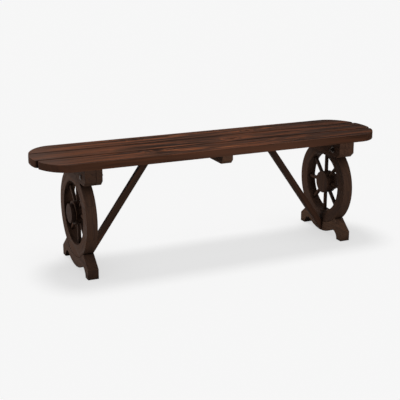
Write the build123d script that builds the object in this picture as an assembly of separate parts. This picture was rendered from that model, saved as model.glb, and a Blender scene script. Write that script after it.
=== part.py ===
from build123d import *
import os
from math import atan2, cos, radians, sin, sqrt

# Patio bench: a three-slat seat with oval ends on two wagon-wheel legs, tied by
# two slanting braces. Millimetres. X runs along the seat, Y across it and Z up.
# The origin is on the floor, under the middle of the seat.

# Seat slats
seat_length = 1393.0
slat_width = 105.0
slat_gap = 5.0
slat_thickness = 27.0
end_bow = 112.0           # how far each half-oval seat end reaches past the straight sides
slat_corner_round = 12.0  # plan rounding of the slat corners beside the gaps
slat_edge_round = 1.5     # easing of the upper arrises

# Wheel legs
leg_thickness = 40.5      # stock of the felloes, feet and top rails
seat_overhang = 149.25    # leg's outer face to the tip of the seat
wheel_radius = 165.0
rim_width = 47.0          # felloe, measured along the radius
spoke_count = 8           # one felloe to each spoke
spoke_size = 13.0
spoke_round = 4.0
spoke_housing = 14.0      # depth of the mortises in the hub and the felloes
hub_radius = 44.0
hub_proud = 0.8           # hub past the rim's outer face
cap_radius = 36.0
cap_height = 15.4         # stands proud of the hub's outer face
cap_round = 1.6
spigot_radius = 12.0
spigot_length = 18.0
dowel_radius = 4.0        # tangential dowels across the felloe joints
dowel_length = 30.0

# Feet
wheel_lift = 43.0         # floor to the lowest point of the wheel
foot_length = 317.0
foot_end_height = 37.0
foot_wrap = 37.0          # how far the foot's horns climb the wheel
horn_tip = 3.0            # flat left on top of each horn
pad_length = 33.5         # standing pad at each end of the foot
cove_rise = 31.0          # hollow beside each pad
belly_clear = 4.0         # floor to the foot's middle
belly_radius = 166.5

# Rails, cleats and batten under the seat
rail_height = 60.0
rail_over_wheel = 30.0    # wood left in the rail above the wheel
cleat_thickness = 24.0
rail_bevel_run = 19.0
rail_bevel_rise = 17.0
batten_width = 44.0
batten_height = 31.0
batten_bevel = 14.0

# Braces
brace_width = 25.0
brace_thickness = 21.0
brace_run = 266.0         # leg's inner face to the middle of the brace's upper end
brace_foot_height = 26.0  # floor to the middle of the brace's lower end

# Fasteners
bolt_radius = 4.0
bolt_spacing = 228.0      # front bolt to rear bolt
bolt_drop = 33.0          # seat underside to the bolts
bolt_tail = 16.0          # thread past the cleat
bolt_head_radius = 9.0
bolt_head_height = 4.5
washer_radius = 13.0
washer_thickness = 2.0
nut_across_flats = 13.0
nut_height = 6.5
screw_head_radius = 4.5
screw_head_height = 4.0
screw_shank_radius = 2.3
screw_point = 6.0
slat_screw_grip = 25.0    # length of the screw below the slat
slat_bite = 19.0          # length of the screw in the slat
slat_screw_offset = 25.0  # either side of the slat's middle line
wheel_screw_offset = 26.0
wheel_screw_sink = 6.0
wheel_bite = 26.0
brace_screw_sink = 5.0
brace_bite = 20.0
counterbore_room = 1.0    # round a screw's head

# Fits and easing
fit_gap = 0.3             # round housed, doweled, bolted and cradled pieces
arris_round = 2.0         # eased edges of the leg and under-seat timbers

# Places worked out from the sizes above
seat_width = 3 * slat_width + 2 * slat_gap
wheel_z = wheel_lift + wheel_radius
rail_top = wheel_z + wheel_radius + rail_over_wheel
leg_outer = seat_length / 2 - seat_overhang
leg_inner = leg_outer - leg_thickness
leg_middle = leg_outer - leg_thickness / 2
cleat_inner = leg_inner - cleat_thickness
hub_outer = leg_outer + hub_proud
rim_inner = wheel_radius - rim_width
rim_middle = wheel_radius - rim_width / 2
belly_z = belly_clear + belly_radius
step_angle = 360 / spoke_count
slat_pitch = slat_width + slat_gap
bolt_z = rail_top - bolt_drop

behind = (Align.CENTER, Align.CENTER, Align.MAX)


def radial(angle):
    """Unit vector from the wheel's centre at an angle counted from the back."""
    return Vector(0, cos(radians(angle)), sin(radians(angle)))


def wheel_point(angle, radius):
    """A point in the wheel's middle plane."""
    return Vector(leg_middle, 0, wheel_z) + radial(angle) * radius


def solid(shape):
    """The single solid that a boolean or an extrusion leaves."""
    return shape.solids()[0]


def other_side(shape):
    return mirror(shape, about=Plane.YZ)


def screw(place, length, grow=0.0):
    """A countersunk wood screw with its head at the place and its point along +Z.

    With grow it is the pilot hole that the screw sits in.
    """
    head = screw_head_radius + grow
    shank = screw_shank_radius + grow
    tip = length + grow
    outline = Polyline(
        (0, 0), (head, 0), (shank, screw_head_height + grow),
        (shank, tip - screw_point), (0, tip), close=True)
    return place * solid(revolve(Plane.XZ * make_face(outline), Axis.Z))


def screw_hole(place, length, depth):
    """A pilot hole with a counterbore of the given depth behind the head."""
    bore = Cylinder(screw_head_radius + counterbore_room, depth, align=behind)
    return screw(place, length, fit_gap) + place * bore


def upward(x, y, z):
    return Plane(origin=(x, y, z), x_dir=(1, 0, 0), z_dir=(0, 0, 1))


def downward(x, y, z):
    return Plane(origin=(x, y, z), x_dir=(1, 0, 0), z_dir=(0, 0, -1))


def outward(x, y, z):
    return Plane(origin=(x, y, z), x_dir=(0, 1, 0), z_dir=(1, 0, 0))


leg_plane = outward(leg_inner, 0, 0)
wheel_plane = outward(leg_inner, 0, wheel_z)


# Screw places, shared by the screws and their holes
slat_centres = {"front_slat": -slat_pitch, "middle_slat": 0.0, "back_slat": slat_pitch}
slat_screw_rows = [
    centre + side * slat_screw_offset
    for centre in slat_centres.values() for side in (-1, 1)]
slat_screw_length = slat_screw_grip + slat_bite
slat_screw_z = rail_top - slat_screw_grip
cleat_screw_x = cleat_inner + cleat_thickness / 2
bolt_rows = (-bolt_spacing / 2, bolt_spacing / 2)

wheel_screw_rows = (-wheel_screw_offset, wheel_screw_offset)
rim_reach = sqrt(wheel_radius**2 - wheel_screw_offset**2)
belly_reach = sqrt(belly_radius**2 - wheel_screw_offset**2)
foot_screw_z = belly_z - belly_reach + wheel_screw_sink
foot_screw_length = wheel_z - rim_reach + wheel_bite - foot_screw_z
rail_screw_z = rail_top - wheel_screw_sink
rail_screw_length = rail_screw_z - (wheel_z + rim_reach - wheel_bite)


def slat(centre):
    """One seat slat, cut to the oval-ended outline of the whole seat."""
    straight = seat_length - 2 * end_bow
    edge = seat_width / 2
    outline = Rectangle(straight, seat_width)
    for middle in (-straight / 2, straight / 2):
        outline += Pos(middle, 0) * Ellipse(end_bow, edge)
    strip = Pos(0, centre) * Rectangle(seat_length, slat_width)
    board = solid(extrude(Pos(0, 0, rail_top) * (outline & strip), slat_thickness))
    corners = [corner for corner in board.edges().filter_by(Axis.Z)
               if abs(corner.center().Y) < edge - slat_gap]
    board = fillet(corners, slat_corner_round)
    board = fillet(board.faces().sort_by(Axis.Z)[-1].edges(), slat_edge_round)
    for y in (centre - slat_screw_offset, centre + slat_screw_offset):
        for x in (-cleat_screw_x, 0, cleat_screw_x):
            board -= screw(upward(x, y, slat_screw_z), slat_screw_length, fit_gap)
    brace_hole = screw(brace_top_place, brace_top_length, fit_gap)
    return board - [brace_hole, other_side(brace_hole)]


def crosspiece(height, run, rise):
    """Side view of a timber across the seat, bevelled under both ends."""
    end = seat_width / 2
    low = rail_top - height
    return make_face(Polyline(
        (-end, rail_top), (end, rail_top), (end, low + rise), (end - run, low),
        (run - end, low), (-end, low + rise), close=True))


def eased(timber, low, high):
    """Round the end and lower arrises of a crosspiece that lies between x low and high."""
    rims = timber.edges().filter_by_position(Axis.X, low, low)
    rims += timber.edges().filter_by_position(Axis.X, high, high)
    rims = [edge for edge in rims if edge.center().Z < rail_top - arris_round]
    return fillet(rims, arris_round)


def bolt_hole(y):
    """Bore for a carriage bolt, right through the top rail and the cleat."""
    bore = Cylinder(bolt_radius + fit_gap, leg_outer - cleat_inner, align=behind)
    return outward(leg_outer, y, bolt_z) * bore


def wheel_room():
    """The round that is sawn out of the foot and the top rail to seat the wheel."""
    return extrude(wheel_plane * Circle(wheel_radius + fit_gap), leg_thickness)


def cleat():
    """Inner timber of the leg's head, which the slats are screwed to from below."""
    profile = Plane.YZ.offset(cleat_inner) * crosspiece(rail_height, rail_bevel_run, rail_bevel_rise)
    timber = eased(solid(extrude(profile, cleat_thickness)), cleat_inner, leg_inner)
    for y in slat_screw_rows:
        place = upward(cleat_screw_x, y, slat_screw_z)
        timber -= screw_hole(place, slat_screw_length, rail_height)
    for y in bolt_rows:
        timber -= bolt_hole(y)
    return timber


def middle_batten():
    left = -batten_width / 2
    profile = Plane.YZ.offset(left) * crosspiece(batten_height, batten_bevel, batten_bevel)
    timber = eased(solid(extrude(profile, batten_width)), left, -left)
    for y in slat_screw_rows:
        timber -= screw_hole(upward(0, y, slat_screw_z), slat_screw_length, batten_height)
    return timber


def top_rail():
    """Outer timber of the leg's head, hollowed below to sit on the wheel."""
    profile = leg_plane * crosspiece(rail_height, rail_bevel_run, rail_bevel_rise)
    timber = eased(solid(extrude(profile, leg_thickness)), leg_inner, leg_outer)
    timber -= wheel_room()
    for y in wheel_screw_rows:
        timber -= screw_hole(downward(leg_middle, y, rail_screw_z), rail_screw_length, rail_height)
    for y in bolt_rows:
        timber -= bolt_hole(y)
    return timber


def foot():
    """Sawn foot: a cradle for the wheel, sloping shoulders, two pads and a belly."""
    end = foot_length / 2
    horn_z = wheel_lift + foot_wrap
    horn_y = sqrt(wheel_radius**2 - (wheel_radius - foot_wrap)**2) + horn_tip
    block = make_face(Polyline(
        (-end, 0), (end, 0), (end, foot_end_height), (horn_y, horn_z),
        (-horn_y, horn_z), (-end, foot_end_height), close=True))
    hollow = SlotOverall(foot_length - 2 * pad_length, 2 * cove_rise)
    belly = Pos(0, belly_z) * Circle(belly_radius)
    profile = leg_plane * (block - (hollow - belly))
    timber = solid(extrude(profile, leg_thickness))
    rims = timber.edges().filter_by_position(Axis.X, leg_inner, leg_inner)
    rims += timber.edges().filter_by_position(Axis.X, leg_outer, leg_outer)
    shown = [edge for edge in rims if 0 < edge.center().Z < horn_z]
    timber = fillet(shown, arris_round)
    timber -= wheel_room()
    for y in wheel_screw_rows:
        place = upward(leg_middle, y, foot_screw_z)
        timber -= screw_hole(place, foot_screw_length, wheel_lift)
    timber -= screw(brace_foot_place, brace_foot_length, fit_gap)
    return timber


def felloe(angle):
    """One length of the rim, housed for its spoke and doweled to its neighbours."""
    start = angle - step_angle / 2
    outer = CenterArc((0, 0), wheel_radius, start, step_angle)
    inner = CenterArc((0, 0), rim_inner, start, step_angle)
    sector = make_face([outer, inner, Line(outer @ 0, inner @ 0), Line(outer @ 1, inner @ 1)])
    piece = solid(extrude(wheel_plane * sector, leg_thickness))
    piece = fillet(piece.edges().filter_by(GeomType.CIRCLE), arris_round)
    piece -= spoke(angle, fit_gap)
    for joint in (start, start + step_angle):
        piece -= felloe_dowel(joint, fit_gap)
    for y in wheel_screw_rows:
        piece -= screw(upward(leg_middle, y, foot_screw_z), foot_screw_length, fit_gap)
        piece -= screw(downward(leg_middle, y, rail_screw_z), rail_screw_length, fit_gap)
    return piece


def felloe_dowel(angle, grow=0.0):
    place = Plane(origin=wheel_point(angle, rim_middle), x_dir=(1, 0, 0), z_dir=radial(angle + 90))
    return place * Cylinder(dowel_radius + grow, dowel_length + 2 * grow)


def spoke(angle, grow=0.0):
    """A square bar with rounded edges; with grow it is the pair of mortises it sits in."""
    start = hub_radius - spoke_housing - grow
    length = rim_inner + spoke_housing + grow - start
    side = spoke_size + 2 * grow
    place = Plane(origin=wheel_point(angle, start), x_dir=(1, 0, 0), z_dir=radial(angle))
    return solid(extrude(place * RectangleRounded(side, side, spoke_round + grow), length))


def hub():
    """Turned nave with a mortise for each spoke and a socket for the cap's spigot."""
    drum = solid(extrude(wheel_plane * Circle(hub_radius), hub_outer - leg_inner))
    drum = fillet(drum.edges().filter_by(GeomType.CIRCLE), arris_round)
    for index in range(spoke_count):
        drum -= spoke(index * step_angle, fit_gap)
    socket = Cylinder(spigot_radius + fit_gap, spigot_length + fit_gap, align=behind)
    return drum - outward(hub_outer, 0, wheel_z) * socket


def hub_cap():
    """Turned button on the hub's outer face, with a spigot on its back."""
    button = Polyline(
        (0, -spigot_length), (spigot_radius, -spigot_length), (spigot_radius, 0),
        (cap_radius, 0), (cap_radius, cap_height - cap_round))
    shoulder = RadiusArc(button @ 1, (cap_radius - cap_round, cap_height), -cap_round)
    face = Polyline(shoulder @ 1, (0, cap_height), button @ 0)
    turned = revolve(Plane.XZ * make_face([button, shoulder, face]), Axis.Z)
    return outward(hub_outer, 0, wheel_z) * solid(turned)


# The brace's slope: run over drop from the seat to the foot
brace_top_reach = leg_inner - brace_run
brace_drop = rail_top - brace_foot_height
brace_lean = atan2(brace_run, brace_drop)
brace_half_top = brace_width / 2 / cos(brace_lean)
brace_half_foot = brace_width / 2 / sin(brace_lean)

# Each brace screw enters through the face that looks at the bench's middle
brace_foot_x = leg_inner - brace_half_top + brace_screw_sink
brace_foot_length = leg_inner + brace_bite - brace_foot_x
brace_foot_place = outward(brace_foot_x, 0, brace_foot_height)
brace_top_z = rail_top - brace_half_foot + brace_screw_sink
brace_top_length = rail_top + brace_bite - brace_top_z
brace_top_place = upward(brace_top_reach, 0, brace_top_z)


def brace():
    """Slanting strut, cut level under the seat and upright against the foot."""
    outline = make_face(Polyline(
        (brace_top_reach - brace_half_top, rail_top),
        (brace_top_reach + brace_half_top, rail_top),
        (leg_inner, brace_foot_height + brace_half_foot),
        (leg_inner, brace_foot_height - brace_half_foot), close=True))
    strut = solid(extrude(Plane.XZ * outline, brace_thickness / 2, both=True))
    along = Vector(brace_run, 0, -brace_drop).normalized()
    strut = fillet(strut.edges().filter_by(Axis((0, 0, 0), along)), arris_round)
    strut -= screw_hole(brace_foot_place, brace_foot_length, brace_width)
    return strut - screw_hole(brace_top_place, brace_top_length, brace_width)


def carriage_bolt(y):
    """Domed head on the rail, shank through rail and cleat, tail past the nut."""
    shank_length = leg_outer - cleat_inner + bolt_tail
    dome_radius = (bolt_head_radius**2 + bolt_head_height**2) / (2 * bolt_head_height)
    edge = Polyline(
        (0, -shank_length), (bolt_radius, -shank_length), (bolt_radius, 0), (bolt_head_radius, 0))
    dome = RadiusArc(edge @ 1, (0, bolt_head_height), -dome_radius)
    outline = make_face([edge, dome, Line(dome @ 1, edge @ 0)])
    return outward(leg_outer, y, bolt_z) * solid(revolve(Plane.XZ * outline, Axis.Z))


def washer(y):
    ring = Circle(washer_radius) - Circle(bolt_radius + fit_gap)
    return solid(extrude(outward(cleat_inner, y, bolt_z) * ring, -washer_thickness))


def nut(y):
    seat = cleat_inner - washer_thickness
    hexagon = RegularPolygon(nut_across_flats / 2, 6, major_radius=False)
    ring = hexagon - Circle(bolt_radius + fit_gap)
    return solid(extrude(outward(seat, y, bolt_z) * ring, -nut_height))


def on_both_sides(pieces):
    return Compound(children=pieces + [other_side(piece) for piece in pieces])


def slat_screws():
    return Compound(children=[
        screw(upward(x, y, slat_screw_z), slat_screw_length)
        for x in (-cleat_screw_x, 0, cleat_screw_x) for y in slat_screw_rows])


nodes = {name: slat(centre) for name, centre in slat_centres.items()}
nodes["middle_batten"] = middle_batten()

leg_pieces = {
    "cleat": cleat(), "top_rail": top_rail(), "foot": foot(),
    "hub": hub(), "hub_cap": hub_cap(), "brace": brace()}
for index in range(spoke_count):
    leg_pieces[f"spoke_{index + 1}"] = spoke(index * step_angle)
    leg_pieces[f"felloe_{index + 1}"] = felloe(index * step_angle)
for name, piece in leg_pieces.items():
    nodes[f"right_{name}"] = piece
    nodes[f"left_{name}"] = other_side(piece)

nodes["carriage_bolts"] = on_both_sides([carriage_bolt(y) for y in bolt_rows])
nodes["washers"] = on_both_sides([washer(y) for y in bolt_rows])
nodes["nuts"] = on_both_sides([nut(y) for y in bolt_rows])
nodes["slat_screws"] = slat_screws()
nodes["wheel_screws"] = on_both_sides(
    [screw(upward(leg_middle, y, foot_screw_z), foot_screw_length) for y in wheel_screw_rows]
    + [screw(downward(leg_middle, y, rail_screw_z), rail_screw_length) for y in wheel_screw_rows])
nodes["brace_screws"] = on_both_sides([
    screw(brace_foot_place, brace_foot_length), screw(brace_top_place, brace_top_length)])
nodes["felloe_dowels"] = on_both_sides([
    felloe_dowel((index + 0.5) * step_angle) for index in range(spoke_count)])

os.makedirs("parts", exist_ok=True)
for name, shape in nodes.items():
    export_step(shape, f"parts/{name}.step")
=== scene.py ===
from math import pi, radians, sqrt

import bmesh
import bpy
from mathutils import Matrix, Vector


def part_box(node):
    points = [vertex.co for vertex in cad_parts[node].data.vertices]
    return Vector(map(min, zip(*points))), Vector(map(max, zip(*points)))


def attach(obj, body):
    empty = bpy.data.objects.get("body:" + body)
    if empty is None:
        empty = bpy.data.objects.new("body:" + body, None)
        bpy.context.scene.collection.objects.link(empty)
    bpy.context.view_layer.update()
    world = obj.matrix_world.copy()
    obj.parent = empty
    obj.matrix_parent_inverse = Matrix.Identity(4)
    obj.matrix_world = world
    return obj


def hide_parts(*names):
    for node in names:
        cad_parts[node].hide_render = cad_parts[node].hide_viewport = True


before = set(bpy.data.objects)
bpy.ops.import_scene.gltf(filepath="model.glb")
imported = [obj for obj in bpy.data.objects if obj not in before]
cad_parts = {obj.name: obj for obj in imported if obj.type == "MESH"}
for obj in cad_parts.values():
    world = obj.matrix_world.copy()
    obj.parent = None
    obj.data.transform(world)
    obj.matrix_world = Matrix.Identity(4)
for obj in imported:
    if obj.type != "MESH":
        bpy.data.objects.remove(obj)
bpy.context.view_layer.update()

MM = 0.001                # metres in a millimetre
BODY = "root"
QUARTER_TURN = radians(90)

# Places read from the frame
hub_low, hub_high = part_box("right_hub")
brace_low, brace_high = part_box("right_brace")
wheel_centre = (hub_low + hub_high) / 2
SPOKES = 8
SPOKE_ANGLE = 2 * pi / SPOKES

# Sockets of a colour Mix node, which share their names with its other kinds
FACTOR, FIRST, SECOND, RESULT = 0, 6, 7, 2


def linear(hex_colour):
    """An sRGB hex colour as the linear RGBA that a socket takes."""
    parts = [int(hex_colour[i:i + 2], 16) / 255 for i in (1, 3, 5)]
    return [c / 12.92 if c <= 0.04045 else ((c + 0.055) / 1.055) ** 2.4 for c in parts] + [1.0]


# Inputs go by name, or by number where several sockets share a name. In a Map Range node 0 is the
# value, 1 and 2 are the span it is read on, and 3 and 4 the span it is turned to, 0 to 1 if left out.
def add(tree, kind, inputs=(), **settings):
    """Add a node with its settings; an input that is a node or socket is linked, a value is set."""
    made = tree.nodes.new("ShaderNode" + kind)
    for setting, value in settings.items():
        setattr(made, setting, value)
    for key, value in dict(inputs).items():
        if isinstance(value, bpy.types.Node):
            value = value.outputs[0]
        if isinstance(value, bpy.types.NodeSocket):
            tree.links.new(value, made.inputs[key])
        else:
            made.inputs[key].default_value = value
    return made


def new_material(name):
    made = bpy.data.materials.new(name)
    made.use_nodes = True
    return made, made.node_tree, made.node_tree.nodes["Principled BSDF"]


# Stained fir. Plain-sawn softwood, planed, stained dark red-brown and oiled to a satin.
# The eye gets wide growth rings drawn out into long streaks, dark late wood between
# lighter early wood, the odd knot with the grain flowing round it, blotches where the
# stain took unevenly, dark end grain and arrises rubbed paler. Lengths are in mm.
RING_WIDTH = 6.5                # a fast-grown fir
LATE_RISES = (0.25, 0.86)       # shares of a ring between which late wood comes up
LATE_STOPS = (0.9, 1.0)         # and between which it stops
PITH_LEAN = (0.012, 0.03)       # how far the pith runs off, across and up, for each mm along
WANDER_WIDTH = 45.0             # the rings sway slowly along the board
WANDER_LENGTH = 330.0
WANDER_REACH = 9.0
FIBRE_WIDTH = 4.0               # coarser than real fibres so that it shows
FIBRE_LENGTH = 170.0
FIBRE_SPAN = (0.3, 0.7)         # levels of the fibre noise over which late wood comes out
VEIN_LEVELS = (0.56, 0.68)      # and from which single fibres are dark
BREAK_LEVELS = (0.38, 0.55)     # and over which flecks are broken up
FAINTEST = 0.25                 # what is left of late wood and flecks where fibres are pale
BLOTCH_WIDTH = 10.0             # across the rings, so wider where a ring lies flat in the face
BLOTCH_LENGTH = 420.0
WARM_LEVELS = (0.52, 0.59)      # levels of the blotch noise from which the stain took warm
DULL_LEVELS = (0.48, 0.41)      # and below which it took dull
KNOT_SQUASH = 0.55              # a knot's width over its length
KNOT_RIM = (0.6, 1.15)          # shares of its size between which a knot's dark core ends
KNOT_FLOW = (0.3, 4.0)          # and over which the rings are pushed aside
KNOT_PUSH = 1.7                 # how far, in sizes of the knot
FLECK_CORE = 0.2                # share of a fleck that is full
PALE_FLECK_SHARE = 0.9
DARK_FLECK_SHARE = 0.8
KNOT_SHARE = 0.9
END_TURN = (0.4, 0.9)           # how square to the grain a face is before it shows end grain
WEAR_REACH = 3.5                # how far in from an arris the finish is rubbed
WEAR_TURN = (0.995, 0.8)        # cosine between the arris as sawn and as eased, unworn to worn
CREASE_REACH = 9.0              # how far out of a crease the dirt and painted shade reach
CREASE_OPEN = 0.9               # share of open air at which they start
CREASE_DEPTH = 0.5              # and the loss of air over which they thicken
EARLY_ROUGH = 0.75              # satin oil: early wood drinks more and dries duller
LATE_ROUGH = 0.6
RELIEF = 0.5                    # raised late wood and fibres
RELIEF_STRENGTH = 0.35
FIBRE_RELIEF = 0.5              # the fibres' share of it

# The seat's tone isn't even. Its sawn edges are painted lighter right of the middle, a painted light.
# The left end has a faint figure and, on its top, a painted greyish sheen, and the top of the right end is
# painted darker, a painted shade. Places are mm along the seat from its middle.
FACE_TURN = (0.3, 0.8)          # how far a surface faces up or down, from sawn edge to planed face
EDGE_FIGURE = 0.3               # share of the figure that a sawn edge shows
FAINT_PLACES = (-660.0, -300.0)
FAINT_FIGURE = 0.35
SHADED_END_PLACES = (60.0, 620.0)
SHADED_END_SHARE = 0.45
# A painted greyish sheen on the top of the left end
SHEEN_PLACES = (-520.0, -690.0)
SHEEN_SHARE = 0.22
SHEEN_TONE = "#645a56"
# Painted light on the sawn edges, strongest right of the middle
LIT_EDGE_MIDDLE = 120.0
LIT_EDGE_REACH = (120.0, 460.0)
LIT_EDGE_SHARE = 0.38
LIT_EDGE_TONE = "#6c4a3a"
GAP_EDGE = (48.0, 51.5)         # mm across from a board's middle, where the board darkens towards the gap
GAP_SHARE = 0.6


def stretched(tree, local, along, across):
    """Piece coordinates divided by a pattern's length along and width across the grain."""
    return add(tree, "VectorMath", {0: local, 1: (1 / along, 1 / across, 1 / (2 * across))},
               operation="MULTIPLY")


def knot_fields(tree, local, knots):
    """Darkness of the knots, and how far they push the rings aside."""
    dark, push = 0.0, 0.0
    for along, across, size in knots:
        away = add(tree, "VectorMath", {0: local, 1: (along, across, 0)}, operation="SUBTRACT")
        flat = add(tree, "VectorMath", {0: away, 1: (KNOT_SQUASH / size, 1 / size, 0)},
                   operation="MULTIPLY")
        reach = add(tree, "VectorMath", {0: flat}, operation="LENGTH").outputs["Value"]
        core = add(tree, "MapRange", {0: reach, 1: KNOT_RIM[0], 2: KNOT_RIM[1], 3: 1.0, 4: 0.0},
                   interpolation_type="SMOOTHSTEP")
        flow = add(tree, "MapRange", {0: reach, 1: KNOT_FLOW[0], 2: KNOT_FLOW[1],
                                      3: KNOT_PUSH * size, 4: 0.0}, interpolation_type="SMOOTHERSTEP")
        dark = add(tree, "Math", {0: dark, 1: core}, operation="MAXIMUM")
        push = add(tree, "Math", {0: push, 1: flow}, operation="ADD")
    return dark, push


def fleck_field(tree, local, flecks):
    """Where single long flecks lie, each given by its middle, length and width."""
    shown = 0.0
    for along, across, length, width in flecks:
        away = add(tree, "VectorMath", {0: local, 1: (along, across, 0)}, operation="SUBTRACT")
        flat = add(tree, "VectorMath", {0: away, 1: (2 / length, 2 / width, 0)}, operation="MULTIPLY")
        reach = add(tree, "VectorMath", {0: flat}, operation="LENGTH").outputs["Value"]
        patch = add(tree, "MapRange", {0: reach, 1: FLECK_CORE, 2: 1.0, 3: 1.0, 4: 0.0},
                    interpolation_type="SMOOTHSTEP")
        shown = add(tree, "Math", {0: shown, 1: patch}, operation="MAXIMUM")
    return shown


def growth_rings(tree, local, split, pith, push, seed):
    """Distance from a pith line that leans a little through the board, and where it is late wood."""
    wander = add(tree, "TexNoise", {"Vector": stretched(tree, local, WANDER_LENGTH, WANDER_WIDTH),
                                    "W": seed, "Scale": 1.0, "Detail": 2.0}, noise_dimensions="4D")
    swing = add(tree, "Math", {0: wander, 1: 0.5}, operation="SUBTRACT")
    from_pith = []
    for axis, slope, offset in zip((1, 2), PITH_LEAN, pith):
        drift = add(tree, "Math", {0: split.outputs[0], 1: slope, 2: -offset}, operation="MULTIPLY_ADD")
        from_pith.append(add(tree, "Math", {0: split.outputs[axis], 1: drift}, operation="ADD"))
    arm = add(tree, "CombineXYZ", {0: from_pith[0], 1: from_pith[1]})
    straight = add(tree, "VectorMath", {0: arm}, operation="LENGTH").outputs["Value"]
    radius = add(tree, "Math", {0: straight, 1: push}, operation="ADD")
    grown = add(tree, "Math", {0: swing, 1: 2 * WANDER_REACH, 2: radius}, operation="MULTIPLY_ADD")
    phase = add(tree, "Math", {0: grown, 1: RING_WIDTH}, operation="DIVIDE")
    ring = add(tree, "Math", {0: phase}, operation="FRACT")
    rising = add(tree, "MapRange", {0: ring, 1: LATE_RISES[0], 2: LATE_RISES[1]},
                 interpolation_type="SMOOTHSTEP")
    falling = add(tree, "MapRange", {0: ring, 1: LATE_STOPS[0], 2: LATE_STOPS[1], 3: 1.0, 4: 0.0},
                  interpolation_type="SMOOTHSTEP")
    late = add(tree, "Math", {0: rising, 1: falling}, operation="MULTIPLY")
    return grown, late


def stain_streaks(tree, split, grown, seed):
    """Fibres and stain blotches, which follow the rings and so flow round the knots with them."""
    grain = add(tree, "CombineXYZ", {"X": split.outputs[0], "Y": grown, "Z": split.outputs[1]})
    fibre = add(tree, "TexNoise", {"Vector": stretched(tree, grain, FIBRE_LENGTH, FIBRE_WIDTH),
                                   "W": seed + 3, "Scale": 1.0, "Detail": 3.0}, noise_dimensions="4D")
    blotch = add(tree, "TexNoise", {"Vector": stretched(tree, grain, BLOTCH_LENGTH, BLOTCH_WIDTH),
                                    "W": seed + 7, "Scale": 1.0, "Detail": 3.0, "Roughness": 0.6},
                 noise_dimensions="4D")
    return fibre, blotch


def seat_faces(tree, split, normal):
    """How planed and how sawn a seat board's surface is, and how much of the figure it shows."""
    upward = add(tree, "SeparateXYZ", {0: normal})
    flat = add(tree, "Math", {0: upward.outputs["Z"]}, operation="ABSOLUTE")
    planed = add(tree, "MapRange", {0: flat, 1: FACE_TURN[0], 2: FACE_TURN[1], 3: EDGE_FIGURE, 4: 1.0})
    sawn = add(tree, "MapRange", {0: flat, 1: FACE_TURN[0], 2: FACE_TURN[1], 3: 1.0, 4: 0.0})
    figure = add(tree, "MapRange", {0: split.outputs[0], 1: FAINT_PLACES[0], 2: FAINT_PLACES[1],
                                    3: FAINT_FIGURE, 4: 1.0})
    show = add(tree, "Math", {0: planed, 1: figure}, operation="MULTIPLY")
    return planed, sawn, show


def seat_changes(tree, split, tones, planed, sawn, show, gap_sides):
    """Painted shade on the right end, painted sheen on the left end, painted light on the sawn edges and
    darker edges beside the gaps, as masks with their tones.
    """
    along = split.outputs[0]
    # The top of the right end painted darker, a painted shade
    right = add(tree, "MapRange", {0: along, 1: SHADED_END_PLACES[0], 2: SHADED_END_PLACES[1], 4: SHADED_END_SHARE},
                interpolation_type="SMOOTHSTEP")
    painted_end_shade = add(tree, "Math", {0: right, 1: show}, operation="MULTIPLY")
    left = add(tree, "MapRange", {0: along, 1: SHEEN_PLACES[0], 2: SHEEN_PLACES[1], 4: SHEEN_SHARE},
               interpolation_type="SMOOTHSTEP")
    painted_sheen = add(tree, "Math", {0: left, 1: planed}, operation="MULTIPLY")
    offset = add(tree, "Math", {0: along, 1: LIT_EDGE_MIDDLE}, operation="SUBTRACT")
    distance = add(tree, "Math", {0: offset}, operation="ABSOLUTE")
    thin = add(tree, "MapRange", {0: distance, 1: LIT_EDGE_REACH[0], 2: LIT_EDGE_REACH[1],
                                  3: LIT_EDGE_SHARE, 4: 0.0}, interpolation_type="SMOOTHSTEP")
    painted_edge_light = add(tree, "Math", {0: thin, 1: sawn}, operation="MULTIPLY")
    layers = [(painted_end_shade, tones["late"]), (painted_sheen, SHEEN_TONE), (painted_edge_light, LIT_EDGE_TONE)]
    for side in gap_sides:
        reach = add(tree, "Math", {0: split.outputs[1], 1: side}, operation="MULTIPLY")
        darkening = add(tree, "MapRange", {0: reach, 1: GAP_EDGE[0], 2: GAP_EDGE[1], 4: GAP_SHARE},
                   interpolation_type="SMOOTHSTEP")
        layers.append((darkening, tones["knot"]))
    return layers


def wear_dirt_and_shade_layers(tree, normal, blotch, tones):
    """Arrises rubbed in patches, and dirt with painted shade where air is shut out, as masks with their
    tones.
    """
    eased = add(tree, "Bevel", {"Radius": WEAR_REACH * MM}, samples=4)
    alike = add(tree, "VectorMath", {0: eased, 1: normal}, operation="DOT_PRODUCT").outputs["Value"]
    rub = add(tree, "MapRange", {0: alike, 1: WEAR_TURN[0], 2: WEAR_TURN[1], 4: tones["rub"]})
    patchy = add(tree, "Math", {0: rub, 1: blotch}, operation="MULTIPLY")
    layers = [(patchy, tones["worn"])]
    # Both layers darken where air is shut out, in recesses, creases and joints: partly dirt, partly painted
    # shade.
    sheltered = (tones["reach"], tones["open"], tones["depth"], tones["dirt_and_shade"])
    creased = (CREASE_REACH, CREASE_OPEN, CREASE_DEPTH, tones["crease"])
    for reach, open_air, depth, share in (sheltered, creased):
        air = add(tree, "AmbientOcclusion", {"Distance": reach * MM}, samples=6).outputs["AO"]
        darkening = add(tree, "MapRange", {0: air, 1: open_air, 2: open_air - depth, 4: share})
        layers.append((darkening, tones["knot"]))
    return layers


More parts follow.
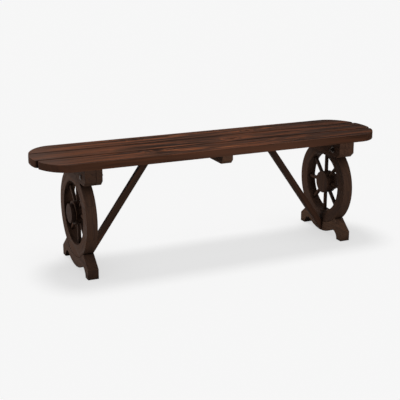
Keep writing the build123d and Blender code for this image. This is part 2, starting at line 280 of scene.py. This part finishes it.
def fir_finish(tree, shader, local, tones, pith, seed, knots=(), pale=(), dark=(), end_axis=None,
               gap_sides=(), joint=None):
    """The stained-fir look on a piece whose grain runs along the first local axis.

    Knots, flecks and sides that face a gap belong to seat boards, and a joint to the wheels.
    """
    split = add(tree, "SeparateXYZ", {0: local})
    normal = add(tree, "NewGeometry").outputs["Normal"]
    dark_knot, push = knot_fields(tree, local, knots)
    grown, late = growth_rings(tree, local, split, pith, push, seed)
    fibre, blotch = stain_streaks(tree, split, grown, seed)
    show = 1.0
    if gap_sides:
        planed, sawn, show = seat_faces(tree, split, normal)

    # Figure: stain blotches, flecks, late wood, dark fibres and knots
    warm = add(tree, "MapRange", {0: blotch, 1: WARM_LEVELS[0], 2: WARM_LEVELS[1]},
               interpolation_type="SMOOTHSTEP")
    dull = add(tree, "MapRange", {0: blotch, 1: DULL_LEVELS[0], 2: DULL_LEVELS[1]},
               interpolation_type="SMOOTHSTEP")
    streaky = add(tree, "MapRange", {0: fibre, 1: FIBRE_SPAN[0], 2: FIBRE_SPAN[1], 3: FAINTEST, 4: 1.0})
    ringed = add(tree, "Math", {0: late, 1: streaky}, operation="MULTIPLY")
    vein = add(tree, "MapRange", {0: fibre, 1: VEIN_LEVELS[0], 2: VEIN_LEVELS[1]},
               interpolation_type="SMOOTHSTEP")
    broken = add(tree, "MapRange", {0: fibre, 1: BREAK_LEVELS[0], 2: BREAK_LEVELS[1], 3: FAINTEST, 4: 1.0})
    pale_fleck, dark_fleck = [add(tree, "Math", {0: fleck_field(tree, local, flecks), 1: broken},
                                  operation="MULTIPLY") for flecks in (pale, dark)]
    figure = ((warm, tones["warm"], tones["cover"]), (dull, tones["dull"], tones["cover"]),
              (pale_fleck, tones["fleck"], PALE_FLECK_SHARE), (dark_fleck, tones["late"], DARK_FLECK_SHARE),
              (ringed, tones["late"], tones["ring"]), (vein, tones["late"], tones["ring"]),
              (dark_knot, tones["knot"], KNOT_SHARE))
    layers = []
    for mask, tone, share in figure:
        part = add(tree, "Math", {0: mask, 1: share}, operation="MULTIPLY")
        layers.append((add(tree, "Math", {0: part, 1: show}, operation="MULTIPLY"), tone))

    # Over the figure: end grain, the seat's painted light and shade and darker gap edges, the wheel's
    # joints, wear, and dirt with painted shade
    if end_axis is not None:
        facing = add(tree, "VectorMath", {0: normal, 1: end_axis}, operation="DOT_PRODUCT").outputs["Value"]
        square_on = add(tree, "Math", {0: facing}, operation="ABSOLUTE")
        end = add(tree, "MapRange", {0: square_on, 1: END_TURN[0], 2: END_TURN[1], 4: tones["end"]})
        layers.append((end, tones["late"]))
    if gap_sides:
        layers += seat_changes(tree, split, tones, planed, sawn, show, gap_sides)
    if joint is not None:
        layers.append((joint, tones["knot"]))
    layers += wear_dirt_and_shade_layers(tree, normal, blotch, tones)
    colour = linear(tones["early"])
    for mask, tone in layers:
        colour = add(tree, "Mix", {FACTOR: mask, FIRST: colour, SECOND: linear(tone)},
                     data_type="RGBA").outputs[RESULT]
    tree.links.new(colour, shader.inputs["Base Color"])

    rough = add(tree, "MapRange", {0: late, 3: EARLY_ROUGH, 4: LATE_ROUGH})
    tree.links.new(rough.outputs[0], shader.inputs["Roughness"])
    shader.inputs["Specular IOR Level"].default_value = tones["gloss"]
    raised = add(tree, "Math", {0: fibre, 1: FIBRE_RELIEF, 2: ringed}, operation="MULTIPLY_ADD")
    bump = add(tree, "Bump", {"Height": raised.outputs[0], "Strength": RELIEF_STRENGTH,
                              "Distance": RELIEF * MM})
    tree.links.new(bump.outputs[0], shader.inputs["Normal"])


def board_space(tree, centre, turn=(0, 0, 0)):
    """Millimetres from a board's middle, turned so that its grain is the first axis."""
    place = add(tree, "TexCoord").outputs["Object"]
    return add(tree, "Mapping", {"Vector": place, "Location": centre, "Rotation": turn,
                                 "Scale": (MM, MM, MM)}, vector_type="TEXTURE")


FIGURE_STEP = 0.37            # metres between one felloe's figure and the next one's in the pattern
JOINT_EDGE = (0.49, 0.496)    # steps from a spoke, where the hairline of a joint comes up
JOINT_SHARE = 0.5


def wheel_space(tree, grain_out):
    """Millimetres in the nearest felloe or spoke, its grain along the rim or along the radius,
    and a hairline of glue and dirt half-way between two spokes, where the felloes meet."""
    place = add(tree, "TexCoord").outputs["Object"]
    arm = add(tree, "VectorMath", {0: place, 1: (0, wheel_centre.y, wheel_centre.z)}, operation="SUBTRACT")
    split = add(tree, "SeparateXYZ", {0: arm})
    angle = add(tree, "Math", {0: split.outputs["Z"], 1: split.outputs["Y"]}, operation="ARCTAN2")
    steps = add(tree, "Math", {0: angle, 1: SPOKE_ANGLE}, operation="DIVIDE")
    index = add(tree, "Math", {0: steps}, operation="ROUND")
    back = add(tree, "Math", {0: index, 1: -SPOKE_ANGLE}, operation="MULTIPLY")
    level = add(tree, "VectorRotate", {"Vector": arm, "Angle": back}, rotation_type="X_AXIS")
    shift = add(tree, "CombineXYZ", {"X": index})
    parted = add(tree, "VectorMath", {0: shift, 1: (FIGURE_STEP,) * 3, 2: level}, operation="MULTIPLY_ADD")
    turn = (0, 0, QUARTER_TURN) if grain_out else (0, QUARTER_TURN, 0)
    local = add(tree, "Mapping", {"Vector": parted, "Rotation": turn, "Scale": (MM, MM, MM)},
                vector_type="TEXTURE")
    offset = add(tree, "Math", {0: steps, 1: index}, operation="SUBTRACT")
    distance = add(tree, "Math", {0: offset}, operation="ABSOLUTE")
    joint = add(tree, "MapRange", {0: distance, 1: JOINT_EDGE[0], 2: JOINT_EDGE[1], 4: JOINT_SHARE})
    return local, joint


# Tones and shares of the fir's finish. The seat is redder and more figured than the rest. "reach",
# "open" and "depth" say where dirt and painted shade gather: within how many mm, and at what share and loss
# of air.
seat_tones = {"early": "#543729", "late": "#1c110c", "warm": "#7a4831", "dull": "#241914",
              "knot": "#120906", "worn": "#5c3c2c", "fleck": "#a3623f", "ring": 0.7, "cover": 0.95,
              "rub": 0.15, "end": 0.3, "dirt_and_shade": 0.9, "open": 0.8, "reach": 10.0, "depth": 0.5,
              "gloss": 0.01, "crease": 0.0}
leg_tones = {"early": "#4e392e", "late": "#2f2019", "warm": "#573d2f", "dull": "#3c2e28",
             "knot": "#150c08", "worn": "#634b3c", "fleck": "#573d2f", "ring": 0.35, "cover": 0.5,
             "rub": 0.45, "end": 0.2, "dirt_and_shade": 0.8, "open": 0.8, "reach": 10.0, "depth": 0.5,
             "gloss": 0.04, "crease": 1.0}
rail_tones = dict(leg_tones, late="#2b1a13", end=0.15)
# The right rail and cleat are a paler copy of the rail's fir, painted as lit.
lit_right_rail_tones = dict(rail_tones, early="#5a4033", warm="#664736", dull="#463229")
# The feet's dirt layer reaches 40 mm, so the floor paints shade on them near the ground.
foot_tones = dict(leg_tones, late="#1d1310", end=0.33, open=0.85, reach=40.0)
# The right foot is a paler copy of the feet's fir, painted as lit.
lit_right_foot_tones = dict(foot_tones, early="#614839", warm="#6a4b3a", dull="#4c3a31", end=0.2)
# The braces are a darker copy of the leg's fir, painted as shaded under the seat.
shaded_brace_tones = dict(leg_tones, early="#3f2e25", late="#20150f", warm="#523426", dull="#2b211c", ring=0.4)
# The batten is a paler copy of the leg's fir, painted as lit, with less dirt and painted shade from the
# seat above it.
lit_batten_tones = dict(leg_tones, early="#664a3a", late="#38251c", warm="#714e3b", dull="#4d392f", ring=0.4,
                    dirt_and_shade=0.5, crease=0.4)
# The wheels' dirt layer reaches 70 mm, so besides some dirt it paints shade into the recesses among rim,
# spokes and hub.
wheel_tones = dict(leg_tones, dirt_and_shade=0.75, open=0.95, reach=70.0)
spoke_tones = dict(wheel_tones, depth=0.4)
# The hub is a darker copy painted as shaded, with painted shade on the drum's side where little air reaches
# within 120 mm; its arrises are rubbed paler, partly wear and partly a painted highlight on the ring.
shaded_hub_tones = dict(leg_tones, early="#47342a", rub=0.7, open=0.65, reach=120.0, depth=0.3)
cap_tones = dict(leg_tones, early="#40302a", warm="#493529", rub=0.3)


def dress(node, finish):
    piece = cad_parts[node]
    for slot in piece.material_slots:
        slot.material = finish


def dress_timber(node, tones, turn=(0, 0, 0), **figure):
    """Give one timber its own stained fir, with the grain along the turned first axis."""
    low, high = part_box(node)
    finish, tree, shader = new_material("stained_fir_" + node)
    fir_finish(tree, shader, board_space(tree, (low + high) / 2, turn), tones, **figure)
    dress(node, finish)


def dress_slats():
    # Knots as middle and size, flecks as middle, length and width, in mm from the board's middle
    dress_timber("front_slat", seat_tones, pith=(35, -60), seed=1, end_axis=(1, 0, 0), gap_sides=(1,),
                 knots=((-244, 34, 12), (330, -18, 7)),
                 pale=((-125, -4, 190, 30), (-205, 14, 110, 22), (30, -18, 200, 24)),
                 dark=((161, 18, 130, 34), (-240, 30, 90, 24), (-20, 22, 150, 14)))
    dress_timber("middle_slat", seat_tones, pith=(-20, -75), seed=11, end_axis=(1, 0, 0), gap_sides=(-1, 1),
                 knots=((90, -10, 8),), pale=((-199, -40, 190, 18),), dark=((-60, 25, 240, 26),))
    dress_timber("back_slat", seat_tones, pith=(10, -50), seed=21, end_axis=(1, 0, 0), gap_sides=(-1,),
                 knots=((-260, 8, 8), (210, -14, 7)),
                 pale=((-80, 8, 130, 26), (298, -1, 80, 20), (-553, -27, 190, 22)),
                 dark=((-30, -22, 300, 30),))


def dress_crosswise():
    for node, tones, seed in (("left_foot", foot_tones, 31), ("right_foot", lit_right_foot_tones, 32),
                              ("left_top_rail", rail_tones, 33), ("right_top_rail", lit_right_rail_tones, 34),
                              ("left_cleat", rail_tones, 35), ("right_cleat", lit_right_rail_tones, 36),
                              ("middle_batten", lit_batten_tones, 37)):
        dress_timber(node, tones, (0, 0, QUARTER_TURN), pith=(-30, 55), seed=seed, end_axis=(0, 1, 0))


def dress_braces():
    run = brace_high.x - brace_low.x
    drop = brace_high.z - brace_low.z
    slope = Vector((run, 0, -drop)).to_track_quat("X", "Z").to_euler()
    for node, side, seed in (("left_brace", -1, 41), ("right_brace", 1, 42)):
        dress_timber(node, shaded_brace_tones, (0, side * slope.y, 0), pith=(20, 30), seed=seed)


def dress_wheels():
    finishes = {}
    wheel_parts = (("felloe", wheel_tones, False, 51), ("spoke", spoke_tones, True, 52))
    for kind, tones, grain_out, seed in wheel_parts:
        finishes[kind], tree, shader = new_material("stained_fir_" + kind)
        local, joint = wheel_space(tree, grain_out)
        fir_finish(tree, shader, local, tones, pith=(30, 60), seed=seed, joint=joint)
    for side in ("left", "right"):
        for index in range(1, SPOKES + 1):
            dress(f"{side}_felloe_{index}", finishes["felloe"])
            dress(f"{side}_spoke_{index}", finishes["spoke"])
        for kind, tones, seed in (("hub", shaded_hub_tones, 61), ("hub_cap", cap_tones, 65)):
            dress_timber(f"{side}_{kind}", tones, (0, QUARTER_TURN, 0), pith=(40, 25), seed=seed)


# Beech. Turned rod with no finish, glued into the rim's joints and out of sight there.
# It would give the eye an even, pale pinkish tan with short darker ray flecks.
RAY_WIDTH = 0.8           # mm
RAY_LENGTH = 4.0
RAY_LEVELS = (0.55, 0.7)  # levels of the noise from which a ray shows


def dress_dowels():
    finish, tree, shader = new_material("plain_beech")
    local = wheel_space(tree, False)[0]
    rays = add(tree, "TexNoise", {"Vector": stretched(tree, local, RAY_LENGTH, RAY_WIDTH),
                                  "Scale": 1.0, "Detail": 2.0})
    fleck = add(tree, "MapRange", {0: rays, 1: RAY_LEVELS[0], 2: RAY_LEVELS[1]},
                interpolation_type="SMOOTHSTEP")
    colour = add(tree, "Mix", {FACTOR: fleck, FIRST: linear("#c8a27d"), SECOND: linear("#a57c58")},
                 data_type="RGBA")
    tree.links.new(colour.outputs[RESULT], shader.inputs["Base Color"])
    shader.inputs["Roughness"].default_value = 0.65
    dress("felloe_dowels", finish)


OXIDE_MOTTLE = 3.0        # mm, both mottles coarser than real ones so that they show
ZINC_MOTTLE = 2.0


def blackened_steel():
    """Black-oxide bolts: almost black, a dull sheen, faint brown where the oxide is thin."""
    finish, tree, shader = new_material("blackened_steel")
    place = add(tree, "TexCoord").outputs["Object"]
    mottle = add(tree, "TexNoise", {"Vector": place, "Scale": 1 / (OXIDE_MOTTLE * MM), "Detail": 3.0})
    colour = add(tree, "Mix", {FACTOR: mottle, FIRST: linear("#17100c"), SECOND: linear("#362a22")},
                 data_type="RGBA")
    tree.links.new(colour.outputs[RESULT], shader.inputs["Base Color"])
    rough = add(tree, "MapRange", {0: mottle, 3: 0.3, 4: 0.5})
    tree.links.new(rough.outputs[0], shader.inputs["Roughness"])
    shader.inputs["Metallic"].default_value = 1.0
    return finish


def zinc_plate():
    """Zinc-plated screws: pale grey-yellow metal, softly mottled."""
    finish, tree, shader = new_material("zinc_plate")
    place = add(tree, "TexCoord").outputs["Object"]
    mottle = add(tree, "TexNoise", {"Vector": place, "Scale": 1 / (ZINC_MOTTLE * MM), "Detail": 2.0})
    colour = add(tree, "Mix", {FACTOR: mottle, FIRST: linear("#8e887a"), SECOND: linear("#b8b09a")},
                 data_type="RGBA")
    tree.links.new(colour.outputs[RESULT], shader.inputs["Base Color"])
    shader.inputs["Metallic"].default_value = 1.0
    shader.inputs["Roughness"].default_value = 0.35
    return finish


# Fasteners, modelled in millimetres along +Z and then carried to their places.
# The places, and the sizes that meet the timber, repeat the part's own.
LEG_OUTER = 547.25
LEG_MIDDLE = 527.0
CLEAT_MIDDLE = 494.75
CLEAT_INNER = 482.75
BOLT_RADIUS = 4.0
BOLT_HEAD = 9.0
BOLT_ROWS = (-114.0, 114.0)
BOLT_Z = 370.0
BOLT_LENGTH = 80.5
BOLT_STUB = (-10.0, -4.0)     # the length of shank that the rest of a bolt is drawn out of
HEAD_EASE = 0.4               # rise from the shank to the skirt of the head
HEAD_SKIRT = 0.97             # the skirt's share of the head's radius
DOME_STEPS = ((0.5, 1.03), (0.9, 0.97), (1.1, 0.89), (0.9, 0.78), (0.7, 0.62), (0.3, 0.4))
THREAD_LENGTH = 26.0
THREAD_PITCH = 1.25
THREAD_STEP = (0.7, 0.83)     # drop and narrowing from the plain shank to the thread's core
THREAD_POINT = (1.3, 0.75)    # drop and narrowing at the end
RIDGE_SEAT = 0.84             # where a thread's ridge is wound, as a share of the shank's radius
RIDGE_SIZE = 0.55             # a ridge's radius over its pitch
RIDGE_STEPS = 16              # faces in one turn
RIDGE_START = 2.2             # from the bolt's end to the ridge's first turn
RIDGE_SHORT = 4.0             # what the ridge leaves free of the thread's length
WASHER_RADIUS = 13.0
WASHER_BORE = BOLT_RADIUS + 0.4
WASHER_THICK = 2.0
WASHER_EASE = 0.35
NUT_FLATS = 13.0
NUT_HEIGHT = 6.5
NUT_CHAMFER = 0.9
NUT_FACE = 0.475              # radius of the nut's end face over its width across flats
NUT_BORE = BOLT_RADIUS * 0.9
SCREW_HEAD = 4.5
SCREW_RIM = 0.7
SCREW_CONE = 3.2
SCREW_POINT = (5.4, 0.08)     # length and narrowing of the point
SCREW_CORE = 2.3 * 0.8        # the shank less its thread
SCREW_PITCH = 2.0
SCREW_THREAD_START = 9.0
SCREW_ENDS = 9.5              # head, cone and point, and a little air past the point
SCREW_BARE = 16.0             # what the thread leaves free of a screw's length
RECESS = (SCREW_HEAD * 1.15, 1.1, 2.4)    # length, width and height of one arm of the cross
RECESS_MIDDLE = (0, 0, 0.4)
RECESS_TAPER = 0.6
END_FACE = 0.9                # an end face is one whose normal lies this far along the axis
SMOOTH_ANGLE = radians(35)


def fresh_start():
    """Nothing selected, because every operator acts on all that is selected."""
    bpy.ops.object.select_all(action="DESELECT")


def open_mesh(piece):
    fresh_start()
    piece.select_set(True)
    bpy.context.view_layer.objects.active = piece
    bpy.ops.object.mode_set(mode="EDIT")
    bpy.ops.mesh.select_mode(type="FACE")


def close_mesh():
    bpy.ops.object.mode_set(mode="OBJECT")


def pick_faces(wanted):
    """Select the faces of the open mesh whose middle and normal pass a test."""
    bpy.ops.mesh.select_all(action="DESELECT")
    shape = bmesh.from_edit_mesh(bpy.context.object.data)
    for face in shape.faces:
        face.select_set(wanted(face.calc_center_median(), face.normal))
    bmesh.update_edit_mesh(bpy.context.object.data)


def grow_rings(steps):
    """Extrude the selected face ring by ring, each given as a rise and a widening."""
    for rise, widening in steps:
        bpy.ops.mesh.extrude_region_move(TRANSFORM_OT_translate={"value": (0, 0, rise)})
        bpy.ops.transform.resize(value=(widening, widening, 1))


def turned_rod(sides, radius, low, high):
    """A cylinder along Z, the start of a turned piece."""
    fresh_start()
    bpy.ops.mesh.primitive_cylinder_add(vertices=sides, radius=radius, depth=high - low,
                                        location=(0, 0, (low + high) / 2))
    bpy.ops.object.transform_apply(location=True, rotation=True, scale=True)
    return bpy.context.object


def carve(piece, tool, operation):
    """Cut a piece with a tool and throw the tool away."""
    fresh_start()
    bpy.context.view_layer.objects.active = piece
    cut = piece.modifiers.new("cut", "BOOLEAN")
    cut.object = tool
    cut.operation = operation
    cut.solver = "EXACT"
    bpy.ops.object.modifier_apply(modifier=cut.name)
    bpy.data.objects.remove(tool, do_unlink=True)


def unite(pieces):
    fresh_start()
    for piece in pieces:
        piece.select_set(True)
    bpy.context.view_layer.objects.active = pieces[0]
    bpy.ops.object.join()
    return bpy.context.object


def thread(radius, pitch, start, turns):
    """A wound ridge of three-cornered section, to sit on a shank."""
    fresh_start()
    bpy.ops.mesh.primitive_circle_add(vertices=3, radius=pitch * RIDGE_SIZE, rotation=(QUARTER_TURN, 0, 0),
                                      location=(radius, 0, start))
    ridge = bpy.context.object
    bpy.ops.object.transform_apply(location=True, rotation=True, scale=True)
    wind = ridge.modifiers.new("wind", "SCREW")
    wind.axis = "Z"
    wind.screw_offset = pitch
    wind.iterations = turns
    wind.steps = RIDGE_STEPS
    wind.render_steps = RIDGE_STEPS
    wind.use_smooth_shade = False
    bpy.ops.object.modifier_apply(modifier=wind.name)
    open_mesh(ridge)
    bpy.ops.mesh.select_all(action="SELECT")
    bpy.ops.mesh.remove_doubles(threshold=0.001)
    bpy.ops.mesh.fill_holes(sides=3)
    bpy.ops.mesh.select_all(action="SELECT")
    bpy.ops.mesh.normals_make_consistent(inside=False)
    close_mesh()
    return ridge


def carriage_bolt():
    """Domed head above z = 0, plain shank and cut thread below it."""
    stub_end, stub_top = BOLT_STUB
    bolt = turned_rod(24, BOLT_RADIUS, stub_end, stub_top)
    open_mesh(bolt)
    pick_faces(lambda middle, normal: normal.z > END_FACE)
    skirt = BOLT_HEAD * HEAD_SKIRT / BOLT_RADIUS
    grow_rings(((-stub_top - HEAD_EASE, 1.0), (HEAD_EASE, skirt)) + DOME_STEPS)
    pick_faces(lambda middle, normal: normal.z < -END_FACE and middle.z < stub_end + 1)
    plain = BOLT_LENGTH - THREAD_LENGTH + stub_end
    cut = THREAD_LENGTH - THREAD_STEP[0] - THREAD_POINT[0]
    grow_rings(((-plain, 1.0), (-THREAD_STEP[0], THREAD_STEP[1]), (-cut, 1.0),
                (-THREAD_POINT[0], THREAD_POINT[1])))
    close_mesh()
    ridge = thread(BOLT_RADIUS * RIDGE_SEAT, THREAD_PITCH, -BOLT_LENGTH + RIDGE_START,
                   int((THREAD_LENGTH - RIDGE_SHORT) / THREAD_PITCH))
    return unite((bolt, ridge))


def hex_nut():
    """Six-sided nut from z = 0 up, its corners turned off to a cone at both ends."""
    corner = NUT_FLATS / sqrt(3)
    nut = turned_rod(6, corner, 0, NUT_HEIGHT)
    cone = turned_rod(48, corner, NUT_CHAMFER, NUT_HEIGHT - NUT_CHAMFER)
    open_mesh(cone)
    narrow = NUT_FLATS * NUT_FACE / corner
    for side in (1, -1):
        pick_faces(lambda middle, normal: normal.z * side > END_FACE)
        grow_rings(((side * NUT_CHAMFER, narrow),))
    close_mesh()
    carve(nut, cone, "INTERSECT")
    carve(nut, turned_rod(24, NUT_BORE, -NUT_HEIGHT, NUT_HEIGHT), "DIFFERENCE")
    return nut


def washer():
    """Flat ring from z = 0 up, punched, so that its arrises are eased."""
    fresh_start()
    bpy.ops.mesh.primitive_circle_add(vertices=40, radius=WASHER_BORE)
    ring = bpy.context.object
    open_mesh(ring)
    bpy.ops.mesh.select_all(action="SELECT")
    bpy.ops.mesh.extrude_edges_move()
    spread = WASHER_RADIUS / WASHER_BORE
    bpy.ops.transform.resize(value=(spread, spread, 1))
    bpy.ops.mesh.select_all(action="SELECT")
    bpy.ops.mesh.normals_make_consistent(inside=False)
    bpy.ops.mesh.extrude_region_move(TRANSFORM_OT_translate={"value": (0, 0, WASHER_THICK)})
    bpy.ops.mesh.select_all(action="SELECT")
    bpy.ops.mesh.normals_make_consistent(inside=False)
    close_mesh()
    ease = ring.modifiers.new("ease", "BEVEL")
    ease.width = WASHER_EASE
    ease.segments = 2
    bpy.ops.object.modifier_apply(modifier=ease.name)
    return ring


def wood_screw(length):
    """Countersunk screw with a cross recess: its head at z = 0, its point up."""
    piece = turned_rod(20, SCREW_HEAD, 0, SCREW_RIM)
    open_mesh(piece)
    pick_faces(lambda middle, normal: normal.z > END_FACE)
    grow_rings(((SCREW_CONE, SCREW_CORE / SCREW_HEAD), (length - SCREW_ENDS, 1.0), SCREW_POINT))
    close_mesh()
    for turn in (0, QUARTER_TURN):
        fresh_start()
        bpy.ops.mesh.primitive_cube_add(size=1, location=RECESS_MIDDLE, rotation=(0, 0, turn), scale=RECESS)
        recess = bpy.context.object
        open_mesh(recess)
        pick_faces(lambda middle, normal: normal.z > END_FACE)
        bpy.ops.transform.resize(value=(RECESS_TAPER, RECESS_TAPER, 1), center_override=RECESS_MIDDLE)
        close_mesh()
        carve(piece, recess, "DIFFERENCE")
    ridge = thread(SCREW_CORE, SCREW_PITCH, SCREW_THREAD_START, int((length - SCREW_BARE) / SCREW_PITCH))
    return unite((piece, ridge))


def fit_fasteners(name, node, finish, made, places):
    """Copy a modelled fastener to its places and join the copies, which stand in for the CAD node."""
    copies = []
    for place, axis in places:
        fresh_start()
        made.select_set(True)
        bpy.context.view_layer.objects.active = made
        bpy.ops.object.duplicate()
        copy = bpy.context.object
        copy.scale = (MM, MM, MM)
        copy.location = Vector(place) * MM
        copy.rotation_euler = Vector((0, 0, 1)).rotation_difference(Vector(axis)).to_euler()
        bpy.ops.object.transform_apply(location=True, rotation=True, scale=True)
        copies.append(copy)
    bpy.data.objects.remove(made, do_unlink=True)
    piece = unite(copies)
    piece.name = name
    bpy.ops.object.shade_smooth_by_angle(angle=SMOOTH_ANGLE)
    piece.data.materials.clear()
    piece.data.materials.append(finish)
    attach(piece, BODY)
    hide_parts(*node)


def fit_bolts():
    black = blackened_steel()
    rows = [(side, y) for side in (-1, 1) for y in BOLT_ROWS]
    fit_fasteners("threaded_carriage_bolts", ["carriage_bolts"], black, carriage_bolt(),
                  [((side * LEG_OUTER, y, BOLT_Z), (side, 0, 0)) for side, y in rows])
    fit_fasteners("punched_washers", ["washers"], black, washer(),
                  [((side * CLEAT_INNER, y, BOLT_Z), (-side, 0, 0)) for side, y in rows])
    fit_fasteners("chamfered_nuts", ["nuts"], black, hex_nut(),
                  [((side * (CLEAT_INNER - WASHER_THICK), y, BOLT_Z), (-side, 0, 0)) for side, y in rows])


# Screws: each kind's length and the place of its head
SLAT_MIDDLES = (-110, 0, 110)
SLAT_SCREW_ASIDE = (-25, 25)
SLAT_SCREW_X = (-CLEAT_MIDDLE, 0, CLEAT_MIDDLE)
SLAT_SCREW_Z = 378.0
SLAT_SCREW_LENGTH = 44.0
WHEEL_SCREW_ASIDE = (-26, 26)
FOOT_SCREW_Z = 12.05
FOOT_SCREW_LENGTH = 59.0
RAIL_SCREW_Z = 397.0
RAIL_SCREW_LENGTH = 52.0
BRACE_FOOT_X = 496.45
BRACE_FOOT_Z = 26.0
BRACE_FOOT_LENGTH = 30.3
BRACE_TOP_X = 240.75
BRACE_TOP_Z = 386.32
BRACE_TOP_LENGTH = 36.6


def fit_screws():
    zinc = zinc_plate()
    up, down = (0, 0, 1), (0, 0, -1)
    slat_rows = [middle + aside for middle in SLAT_MIDDLES for aside in SLAT_SCREW_ASIDE]
    fit_fasteners("cross_head_slat_screws", ["slat_screws"], zinc,
                  wood_screw(SLAT_SCREW_LENGTH),
                  [((x, y, SLAT_SCREW_Z), up) for x in SLAT_SCREW_X for y in slat_rows])
    wheel_places = [(side * LEG_MIDDLE, y) for side in (-1, 1) for y in WHEEL_SCREW_ASIDE]
    fit_fasteners("cross_head_foot_screws", ["wheel_screws"], zinc,
                  wood_screw(FOOT_SCREW_LENGTH),
                  [((x, y, FOOT_SCREW_Z), up) for x, y in wheel_places])
    fit_fasteners("cross_head_rail_screws", ["wheel_screws"], zinc,
                  wood_screw(RAIL_SCREW_LENGTH),
                  [((x, y, RAIL_SCREW_Z), down) for x, y in wheel_places])
    fit_fasteners("cross_head_brace_foot_screws", ["brace_screws"], zinc,
                  wood_screw(BRACE_FOOT_LENGTH),
                  [((side * BRACE_FOOT_X, 0, BRACE_FOOT_Z), (side, 0, 0)) for side in (-1, 1)])
    fit_fasteners("cross_head_brace_top_screws", ["brace_screws"], zinc,
                  wood_screw(BRACE_TOP_LENGTH),
                  [((side * BRACE_TOP_X, 0, BRACE_TOP_Z), up) for side in (-1, 1)])


dress_slats()
dress_crosswise()
dress_braces()
dress_wheels()
dress_dowels()
fit_bolts()
fit_screws()

# Stage: pale floor and background, soft light from above, and panels at the back left, in front
# and low at the back right, which light the bench and leave the floor alone
PALE = linear("#f6f6f6")
WHITE = (1, 1, 1, 1)
FLOOR_SIZE = 120          # m, past the edge of any view
SHADOW_SHARE = 0.27       # how much of the floor's tone the light decides
FLOOR_ALBEDO = 0.87
FLOOR_GLOW = 0.815
FLOOR_BOUNCE = 0.12
CONTACT_REACH = 0.25      # m, how far the painted contact shadow reaches round the legs
CONTACT_AIR = 0.3         # share of open air at which the floor is dimmest
CONTACT_DIM = 0.86
AMBIENT = 0.10
TOP_LIGHT_LEAN = -0.23    # towards the front for each metre down
TOP_LIGHT_STRENGTH = 0.66 * pi
TOP_LIGHT_SPREAD = radians(17)


def seen_by_camera(tree):
    """One for rays that show the background: camera, mirror and glass rays."""
    path = add(tree, "LightPath")
    either = add(tree, "Math", {0: path.outputs["Is Camera Ray"], 1: path.outputs["Is Glossy Ray"]},
                 operation="MAXIMUM")
    return add(tree, "Math", {0: either, 1: path.outputs["Is Transmission Ray"]}, operation="MAXIMUM")


def pale_floor():
    fresh_start()
    bpy.ops.mesh.primitive_plane_add(size=FLOOR_SIZE)
    floor = bpy.context.object
    floor.name = "floor"
    finish, tree, shader = new_material("pale_floor")
    tree.nodes.remove(shader)
    lit = add(tree, "BsdfDiffuse", {"Color": (FLOOR_ALBEDO * SHADOW_SHARE,) * 3 + (1,)})
    # The glow dims where the legs shut out air: a painted contact shadow on the floor
    air = add(tree, "AmbientOcclusion", {"Distance": CONTACT_REACH}, samples=16).outputs["AO"]
    near = add(tree, "MapRange", {0: air, 1: CONTACT_AIR, 3: CONTACT_DIM * FLOOR_GLOW, 4: FLOOR_GLOW})
    even = add(tree, "Emission", {"Color": PALE, "Strength": near})
    shown = add(tree, "AddShader", {0: lit, 1: even})
    bounce = add(tree, "BsdfDiffuse", {"Color": (FLOOR_BOUNCE,) * 3 + (1,)})
    both = add(tree, "MixShader", {0: seen_by_camera(tree), 1: bounce, 2: shown})
    tree.links.new(both.outputs[0], tree.nodes["Material Output"].inputs["Surface"])
    floor.data.materials.append(finish)
    return floor


def pale_world():
    world = bpy.data.worlds.new("pale_studio")
    bpy.context.scene.world = world
    world.use_nodes = True
    tree = world.node_tree
    ambient = add(tree, "Background", {"Color": WHITE, "Strength": AMBIENT})
    shown = add(tree, "Background", {"Color": PALE, "Strength": 1.0})
    both = add(tree, "MixShader", {0: seen_by_camera(tree), 1: ambient, 2: shown})
    tree.links.new(both.outputs[0], tree.nodes["World Output"].inputs["Surface"])


def top_light():
    """Overhead light, broad enough for a soft-edged shadow under the seat."""
    shining = Vector((0, TOP_LIGHT_LEAN, -1)).to_track_quat("-Z", "Y").to_euler()
    bpy.ops.object.light_add(type="SUN", rotation=shining)
    lamp = bpy.context.object
    lamp.name = "top_light"
    lamp.data.energy = TOP_LIGHT_STRENGTH
    lamp.data.angle = TOP_LIGHT_SPREAD


def soft_panel(name, place, aim, size, watts, mirrored=True):
    """A square light panel that faces a point on the bench and leaves the floor alone.

    A panel that isn't mirrored gives no highlights, as they would shine along the wheel's bore.
    """
    facing = (Vector(aim) - Vector(place)).to_track_quat("-Z", "Y").to_euler()
    bpy.ops.object.light_add(type="AREA", location=place, rotation=facing)
    lamp = bpy.context.object
    lamp.name = name
    lamp.data.size = size
    lamp.data.energy = watts
    lamp.visible_camera = False
    lamp.visible_glossy = mirrored
    unlit = bpy.data.collections.new("unlit_by_" + name)
    unlit.objects.link(floor)
    unlit.collection_objects[0].light_linking.link_state = "EXCLUDE"
    lamp.light_linking.receiver_collection = unlit


floor = pale_floor()
pale_world()
top_light()
soft_panel("left_panel", place=(-4.2, 1.8, 1.3), aim=(0, 0, 0.2), size=2.0, watts=96)
soft_panel("front_panel", place=(0.2, -3.4, 1.0), aim=(0, 0, 0.25), size=1.6, watts=53)
soft_panel("back_panel", place=(2.4, 2.6, 0.2), aim=(0, 0, 0.2), size=0.38, watts=100, mirrored=False)

# Camera at the photograph's view, solved from the bench's edges
CAMERA_PLACE = (-1.46185, -3.17110, 1.21208)
CAMERA_TILT = radians(73.704)
CAMERA_TURN = radians(-24.16)
bpy.ops.object.camera_add(location=CAMERA_PLACE, rotation=(CAMERA_TILT, 0, CAMERA_TURN))
camera = bpy.context.object
camera.data.sensor_width = 36.0
camera.data.lens = 84.2
bpy.context.scene.camera = camera
bpy.context.scene.view_settings.view_transform = "Standard"
